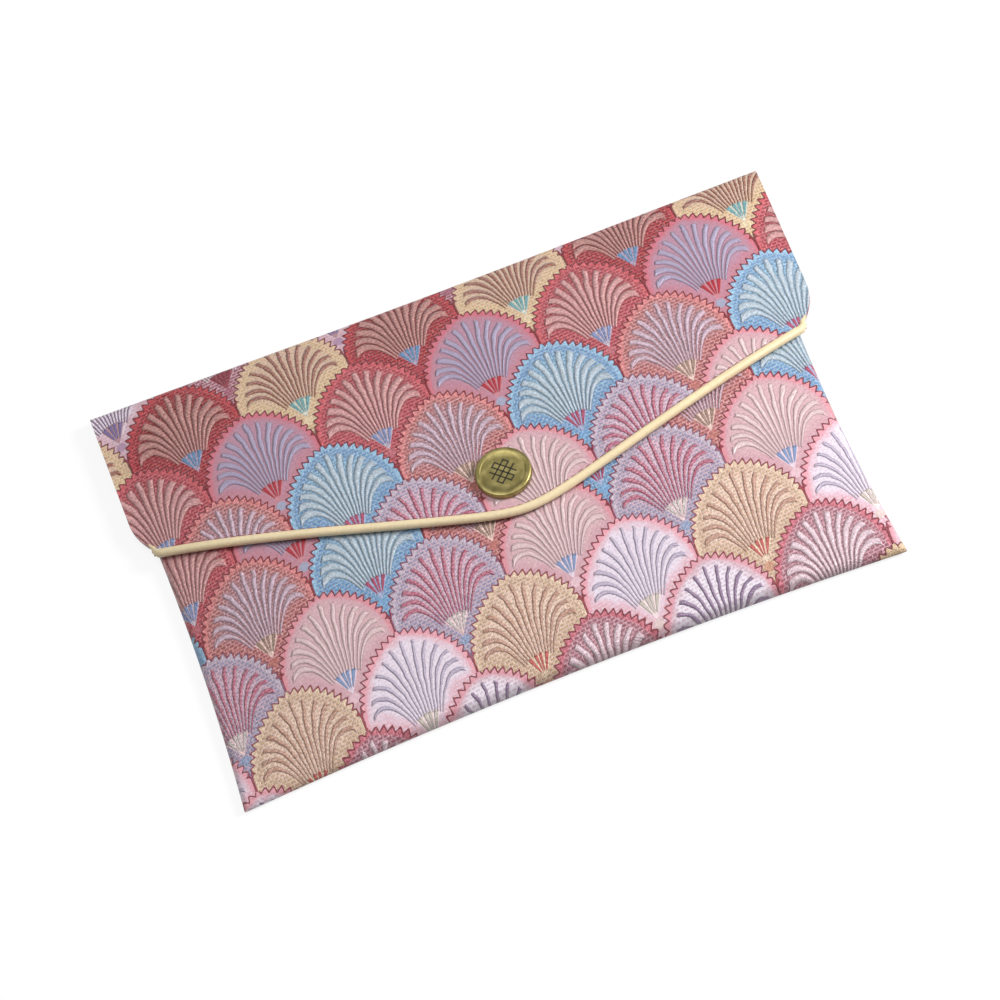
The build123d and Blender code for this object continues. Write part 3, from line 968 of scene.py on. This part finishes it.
def fold_sheet(name, depth):
    """Lower half of the top fold and the last of the back, depth inside the outer face."""
    s = columns(FLAP_HALF_W)
    fold = top_line(s * HALF_W)
    rows = []
    strip = []
    for t in np.linspace(0, 1, 12)[:-1]:
        y = BACK_SPLIT + (fold - FOLD_ROLL - BACK_SPLIT) * t
        x = s * (side_half(y, s > 0) * (1 - t) + flap_side(y, s > 0) * t)
        rows.append(stacked(x, y, np.full_like(x, depth)))
        strip.append(Strip.back(x, y))
    x = s * flap_side(HALF_H, s > 0)
    for angle in np.radians([-90, -78, -65, -52, -39, -26, -13, -2, 0]):
        rows.append(fold_row(x, fold, angle, depth))
        strip.append(Strip.back(x, fold - FOLD_ROLL, (angle + math.pi / 2) * FOLD_ROLL))
    return sheet_of_rows(name, rows, strip)


class ENVELOPE_OT_flap(bpy.types.Operator):
    """Flap: the cloth that turns over the top fold and comes down over the pouch front"""
    bl_idname = "envelope.flap"
    bl_label = "Flap"

    def execute(self, context):
        brocade = bpy.data.materials["brocade_shells"]
        satin = bpy.data.materials["lining_satin"]
        fold = thicken(fold_sheet("fold_cloth", 0), STACK)
        give(fold, brocade)
        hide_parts("spine_brocade", "spine_interlining")
        fold_lining = thicken(fold_sheet("fold_satin", LINING_DEPTH), SATIN)
        give(fold_lining, satin)
        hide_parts("spine_lining")
        for piece, holder in ((fold, "pouch_cloth"), (fold_lining, "fold_cloth")):
            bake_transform(piece)
        flap = thicken(flap_sheet("flap_cloth", 0), STACK)
        give(flap, brocade)
        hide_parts("flap_brocade", "flap_interlining")
        lining = thicken(flap_sheet("flap_satin", LINING_DEPTH), SATIN)
        give(lining, satin)
        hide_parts("flap_lining")
        for piece, holder in ((flap, "pouch_cloth"), (lining, "flap_cloth")):
            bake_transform(piece)
        return {"FINISHED"}


# ---- piping ----------------------------------------------------------
def piping_route():
    """Middle line of the piping on the flap's edge, from its left side to its right."""
    left, right = (side * float(flap_side(0, side > 0)) for side in (-1, 1))
    x = np.linspace(left + 1.5 * MM, right - 1.5 * MM, 180)
    route = stacked(x, flap_edge(x))
    rise = np.array([0.9, 1.8, 2.8, 3.8]) * MM      # of the tapered ends, up the flap's sides
    ends = []
    for side, corner in ((-1, left), (1, right)):
        y = float(flap_edge(corner)) + rise
        ends.append(stacked(side * flap_side(y, side > 0) - side * 0.5 * MM, y))
    return np.concatenate([ends[0][::-1], route, ends[1]])


def tube_mesh(name, path, radii, sides):
    """A round tube along a path, closed at both ends."""
    up = np.array([0.0, 0.0, 1.0])
    angles = np.arange(sides) * math.tau / sides
    work = bmesh.new()
    rings = []
    for centre, along, radius in zip(path, unit_rows(np.gradient(path, axis=0)), radii):
        side = np.cross(along, up)
        side /= np.linalg.norm(side)
        lift = np.cross(side, along)
        ring = centre + radius * (np.cos(angles)[:, None] * side + np.sin(angles)[:, None] * lift)
        rings.append([work.verts.new(point) for point in ring])
    bridge(work, rings)
    work.faces.new(rings[0][::-1])
    work.faces.new(rings[-1])
    tube = link_work(name, work)
    tube.data.shade_smooth()
    return tube


class ENVELOPE_OT_piping(bpy.types.Operator):
    """Piping: a satin tube over a cord, sewn into the flap's edge and tapering out at its sides"""
    bl_idname = "envelope.piping"
    bl_label = "Piping"

    def execute(self, context):
        settings = trim_settings()
        route = piping_route()
        x, y = route.T
        run = np.concatenate([[0], np.cumsum(np.hypot(np.diff(x), np.diff(y)))])
        end = np.minimum(run, run[-1] - run)
        full = smooth(end / PIPING_TAPER)
        radii = PIPING_PLUMP * PIPING_RADIUS * (PIPING_END + (1 - PIPING_END) * full)
        z = flap_height(x, y, FLAP_UNDER + PIPING_RADIUS) - (PIPING_RADIUS - radii) * 0.6
        tube = tube_mesh("piping_tube", stacked(x, y, z), radii, settings.tube_sides)
        give(tube, satin_finish("piping_satin", settings.piping_colour, 0.34, 0.45))
        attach(tube, "flap")
        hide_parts("flap_piping", "piping_cord")
        return {"FINISHED"}


# ---- stitching -------------------------------------------------------
def stitch_tree():
    """Geometry nodes: short bars of thread, evenly spaced and turned along a curve."""
    tree = bpy.data.node_groups.new("stitch_row", "GeometryNodeTree")
    face = tree.interface
    face.new_socket("Geometry", in_out="INPUT", socket_type="NodeSocketGeometry")
    sockets = {}
    for name in ("Pitch", "Length", "Thread Radius"):
        sockets[name] = face.new_socket(name, in_out="INPUT", socket_type="NodeSocketFloat")
    sockets["Thread"] = face.new_socket("Thread", in_out="INPUT", socket_type="NodeSocketMaterial")
    face.new_socket("Geometry", in_out="OUTPUT", socket_type="NodeSocketGeometry")
    nodes = {key: tree.nodes.new(kind) for key, kind in (
        ("entry", "NodeGroupInput"),
        ("leave", "NodeGroupOutput"),
        ("spaced", "GeometryNodeResampleCurve"),
        ("bar", "GeometryNodeMeshUVSphere"),
        ("half", "ShaderNodeMath"),
        ("size", "ShaderNodeCombineXYZ"),
        ("placed", "GeometryNodeInstanceOnPoints"),
        ("turn", "FunctionNodeAlignEulerToVector"),
        ("tangent", "GeometryNodeInputTangent"),
        ("smooth", "GeometryNodeSetShadeSmooth"),
        ("real", "GeometryNodeRealizeInstances"),
        ("thread", "GeometryNodeSetMaterial"))}
    nodes["spaced"].mode = "LENGTH"
    for key, value in (("Segments", 8), ("Rings", 5), ("Radius", 1.0)):
        nodes["bar"].inputs[key].default_value = value
    nodes["half"].operation = "MULTIPLY"
    nodes["half"].inputs[1].default_value = 0.5
    nodes["turn"].axis = "Z"
    for start, output, end, slot in (
            ("entry", "Geometry", "spaced", "Curve"),
            ("entry", "Pitch", "spaced", "Length"),
            ("entry", "Length", "half", 0),
            ("entry", "Thread Radius", "size", "X"),
            ("entry", "Thread Radius", "size", "Y"),
            ("half", 0, "size", "Z"),
            ("spaced", "Curve", "placed", "Points"),
            ("bar", "Mesh", "placed", "Instance"),
            ("tangent", 0, "turn", "Vector"),
            ("turn", 0, "placed", "Rotation"),
            ("size", 0, "placed", "Scale"),
            ("placed", 0, "smooth", 0),
            ("smooth", 0, "real", 0),
            ("real", 0, "thread", "Geometry"),
            ("entry", "Thread", "thread", "Material"),
            ("thread", 0, "leave", 0)):
        tree.links.new(nodes[start].outputs[output], nodes[end].inputs[slot])
    return tree, {name: socket.identifier for name, socket in sockets.items()}


def stitch_row(name, path, material, body):
    """A row of stitches along a path, as one plain mesh."""
    settings = trim_settings()
    curve = bpy.data.curves.new(name + "_line", "CURVE")
    curve.dimensions = "3D"
    spline = curve.splines.new("POLY")
    spline.points.add(len(path) - 1)
    for point, place in zip(spline.points, path):
        point.co = (*place, 1)
    line = link(name + "_line", curve)
    tree, names = stitch_tree()
    row = line.modifiers.new("stitches", "NODES")
    row.node_group = tree
    row[names["Pitch"]] = settings.stitch_pitch
    row[names["Length"]] = settings.stitch_length
    row[names["Thread Radius"]] = settings.thread_radius
    row[names["Thread"]] = material
    mesh = evaluated_mesh(line)
    if not len(mesh.polygons):
        raise RuntimeError(f"the stitch row {name} came out empty")
    bpy.data.objects.remove(line)
    obj = link(name, mesh)
    mesh.shade_smooth()
    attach(obj, body)


class ENVELOPE_OT_stitching(bpy.types.Operator):
    """Stitching: the row along the piping and the row along the pocket's mouth"""
    bl_idname = "envelope.stitching"
    bl_label = "Stitching"

    def execute(self, context):
        thread = thread_finish("sewing_thread", trim_settings().stitch_colour)
        route = piping_route()
        along = unit_rows(np.gradient(route, axis=0))
        inward = stacked(-along[:, 1], along[:, 0])
        x, y = (route + inward * SEAM_INSET)[BARE_ENDS:-BARE_ENDS].T
        z = flap_height(x, y, FLAP_LEVEL) + 0.1 * MM
        stitch_row("flap_stitching", stacked(x, y, z), thread, "flap")
        x = np.arange(-HALF_W + 5 * MM, HALF_W - 4 * MM, 2 * MM)
        y = np.full_like(x, MOUTH_Y - HEM)
        z = front_height(x, y, FRONT_LEVEL) + 0.05 * MM
        stitch_row("mouth_stitching", stacked(x, y, z), thread, "pouch")
        return {"FINISHED"}


# ---- press snap ------------------------------------------------------
def lathe(name, profile, turns):
    """A closed turned piece: a profile of (radius, height) points, spun about the snap's axis."""
    work = bmesh.new()
    rings = []
    for radius, height in profile:
        ring = []
        for i in range(turns if radius else 1):
            angle = math.tau * i / turns
            place = (radius * math.cos(angle), SNAP_Y + radius * math.sin(angle), height)
            ring.append(work.verts.new(place))
        rings.append(ring)
    bridge(work, rings)
    piece = link_work(name, work)
    piece.data.shade_smooth()
    return piece


def cap_profile():
    """The cap from the middle of its face, over the rolled rim and back inside."""
    top, foot = CAP_HIGH[2], CAP_LOW[2]
    rim, bevel, dish = 0.9 * MM, 0.6 * MM, CAP_DISH
    face = CAP_RADIUS - bevel - rim
    profile = [(face * share, top - dish) for share in (0, 0.25, 0.5, 0.75, 0.97)]
    profile += [(face + dish * 0.5, top - dish * 0.5), (face + dish, top - 0.02 * MM),
                (face + 2 * dish, top)]
    for angle in (math.radians(15 * step) for step in range(7)):
        profile.append((CAP_RADIUS - bevel + bevel * math.sin(angle),
                        top - bevel + bevel * math.cos(angle)))
    profile += [(CAP_RADIUS, foot + 0.25 * MM), (CAP_RADIUS - 0.12 * MM, foot),
                (CAP_RADIUS - 0.4 * MM, foot), (CAP_RADIUS - 0.4 * MM, top - 1.0 * MM),
                (CAP_RADIUS - 0.9 * MM, top - 0.7 * MM), (0, top - 0.7 * MM)]
    return profile


def fret_bar(work, place, turn, length, angle):
    """A low bar with chamfered edges on the cap's face, its middle at a place that is turned."""
    middle = Matrix.Rotation(turn, 2) @ Vector(place)
    half_l, half_w = length / 2, FRET_LINE / 2
    lower = [(-half_l, -half_w), (half_l, -half_w), (half_l, half_w), (-half_l, half_w)]
    trim = FRET_HEIGHT * 0.6
    upper = [(px - math.copysign(trim, px), py - math.copysign(trim, py)) for px, py in lower]
    level = CAP_HIGH[2] - CAP_DISH
    rings = []
    for z, corners in ((-FRET_HEIGHT, lower), (FRET_HEIGHT * 0.4, lower), (FRET_HEIGHT, upper)):
        ring = []
        for corner in corners:
            px, py = Matrix.Rotation(angle, 2) @ Vector(corner)
            ring.append(work.verts.new((middle.x + px, SNAP_Y + middle.y + py, level + z)))
        rings.append(ring)
    bridge(work, rings)
    work.faces.new(rings[0][::-1])
    work.faces.new(rings[-1])


def fret_mesh(name):
    """Two sets of three bars that cross, with a short bar that joins two ends at each side."""
    work = bmesh.new()
    for k in (-1, 0, 1):
        for turn in (math.radians(45), math.radians(-45)):
            fret_bar(work, (0, k * FRET_PITCH), turn, 4.2 * FRET_PITCH, turn)
    for k in range(4):
        turn = math.radians(45 + 90 * k)
        side = -1 if k % 2 else 1
        fret_bar(work, (2.1 * FRET_PITCH, side * FRET_PITCH / 2), turn, FRET_PITCH + FRET_LINE,
                 turn + math.pi / 2)
    return link_work(name, work)


class ENVELOPE_OT_snap(bpy.types.Operator):
    """Press snap: the brass cap with its dark fretwork, and the finish of the parts under it"""
    bl_idname = "envelope.snap"
    bl_label = "Press Snap"

    def execute(self, context):
        antique = brass_finish(
            "antique_brass", trim_settings().brass_colour, (0.30, 0.25, 0.09), 0.40)
        cap = lathe("cap_shell", cap_profile(), 96)
        give(cap, antique)
        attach(cap, "flap")
        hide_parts("snap_cap")

        fret = fret_mesh("cap_fret")
        give(fret, patina_finish("dark_patina"))
        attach(fret, "flap")

        plain = brass_finish("snap_brass", (0.52, 0.44, 0.24), (0.30, 0.25, 0.12), 0.30)
        for name in ("cap_post", "socket", "spring", "stud", "stud_eyelet"):
            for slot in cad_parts["snap_" + name].material_slots:
                slot.material = plain
        return {"FINISHED"}


# ---- stage -----------------------------------------------------------
def floor_finish(colour):
    """Pale paper that the camera and reflections see almost white, and that still takes shadow."""
    paper = Finish("floor_paper")
    speck = paper.noise(paper.place(), 40)
    rays = paper.node("ShaderNodeLightPath").socket.node.outputs
    seen = Socket(paper.tree, rays["Is Camera Ray"])
    for name in ("Is Glossy Ray", "Is Transmission Ray"):
        seen = seen.at_least(Socket(paper.tree, rays[name]))
    lit = paper.mix(speck, colour, toned(colour, 1.02))
    paper.finish(Base_Color=paper.mix(seen, lit, (1, 1, 1)), Roughness=0.9, Specular_IOR_Level=0.1)
    glow = paper.node("ShaderNodeEmission")
    matt = Socket(paper.tree, paper.shader.outputs[0])
    blend = paper.node("ShaderNodeMixShader", None, {0: seen * FLOOR_GLOW, 1: matt, 2: glow})
    feed(paper.tree.nodes["Material Output"].inputs["Surface"], blend)
    return paper.material


def lamp(name, place, size, power):
    """A round lamp of that diameter and power in watts, aimed at the middle of the pouch."""
    data = bpy.data.lights.new(name, "AREA")
    data.shape = "DISK"
    data.size = size
    data.energy = power
    obj = link(name, data)
    obj.location = place
    obj.rotation_euler = (-Vector(place)).to_track_quat("-Z", "Y").to_euler()


def photo_camera(settings, aim):
    """The camera, turned about its aim and then about its own axis."""
    camera = bpy.data.cameras.new("camera")
    camera.lens = settings.lens
    camera.clip_end = 20
    holder = link("camera", camera)
    az, el, turn = settings.azimuth, settings.elevation, settings.roll
    away = Vector((math.sin(az) * math.cos(el), -math.cos(az) * math.cos(el), math.sin(el)))
    right = (-away).cross(Vector((0, 0, 1))).normalized()
    up = right.cross(-away)
    side = right * math.cos(turn) + up * math.sin(turn)
    rise = up * math.cos(turn) - right * math.sin(turn)
    holder.matrix_world = Matrix.Translation(aim + away * settings.distance) @ Matrix(
        (side, rise, away)).transposed().to_4x4()
    return holder


class ENVELOPE_OT_stage(bpy.types.Operator):
    """Stage: pale floor, soft lamps and the camera"""
    bl_idname = "envelope.stage"
    bl_label = "Stage"

    def execute(self, context):
        scene = context.scene
        settings = scene.envelope_stage
        scene.view_settings.view_transform = "Standard"

        paper = bpy.data.meshes.new("floor")
        paper.from_pydata([(x * FLOOR_HALF, y * FLOOR_HALF, 0)
                           for x, y in ((-1, -1), (1, -1), (1, 1), (-1, 1))], [], [(0, 1, 2, 3)])
        link("floor", paper)
        paper.materials.append(floor_finish(settings.floor_colour))

        world = bpy.data.worlds.new("studio")
        scene.world = world
        world.use_nodes = True
        background = world.node_tree.nodes["Background"]
        background.inputs["Color"].default_value = (1, 1, 1, 1)
        background.inputs["Strength"].default_value = WORLD_STRENGTH

        lamp("key_lamp", (0.62, -0.05, 0.45), 0.3, 6.3)
        lamp("fill_lamp", (-0.3, 0.1, 1.4), 1.0, 8.6)

        aim = Vector((-1.83 * MM - scene.envelope_cloth.shift, -5.76 * MM, 4 * MM))
        scene.camera = photo_camera(settings, aim)
        return {"FINISHED"}


class ENVELOPE_PT_pieces(bpy.types.Panel):
    """Lists the envelope's operators in the sidebar"""
    bl_idname = "ENVELOPE_PT_pieces"
    bl_label = "Brocade Envelope"
    bl_space_type = "VIEW_3D"
    bl_region_type = "UI"
    bl_category = "Envelope"

    def draw(self, context):
        for name in STEPS:
            self.layout.operator("envelope." + name)
        for group in ("cloth", "shells", "trim", "stage"):
            settings = getattr(context.scene, "envelope_" + group)
            box = self.layout.box()
            for key in settings.__annotations__:
                box.prop(settings, key)


STEPS = ("stage", "pouch", "flap", "piping", "stitching", "snap")
GROUPS = {
    "envelope_cloth": ENVELOPE_PG_cloth,
    "envelope_shells": ENVELOPE_PG_shells,
    "envelope_trim": ENVELOPE_PG_trim,
    "envelope_stage": ENVELOPE_PG_stage,
}
CLASSES = tuple(GROUPS.values()) + (
    ENVELOPE_OT_stage, ENVELOPE_OT_pouch, ENVELOPE_OT_flap, ENVELOPE_OT_piping,
    ENVELOPE_OT_stitching, ENVELOPE_OT_snap, ENVELOPE_PT_pieces)


def register():
    for item in CLASSES:
        bpy.utils.register_class(item)
    for name, group in GROUPS.items():
        setattr(bpy.types.Scene, name, PointerProperty(type=group))


def unregister():
    for name in GROUPS:
        delattr(bpy.types.Scene, name)
    for item in reversed(CLASSES):
        bpy.utils.unregister_class(item)


def main():
    register()
    for name in STEPS:
        getattr(bpy.ops.envelope, name)()


if __name__ == "__main__":
    main()
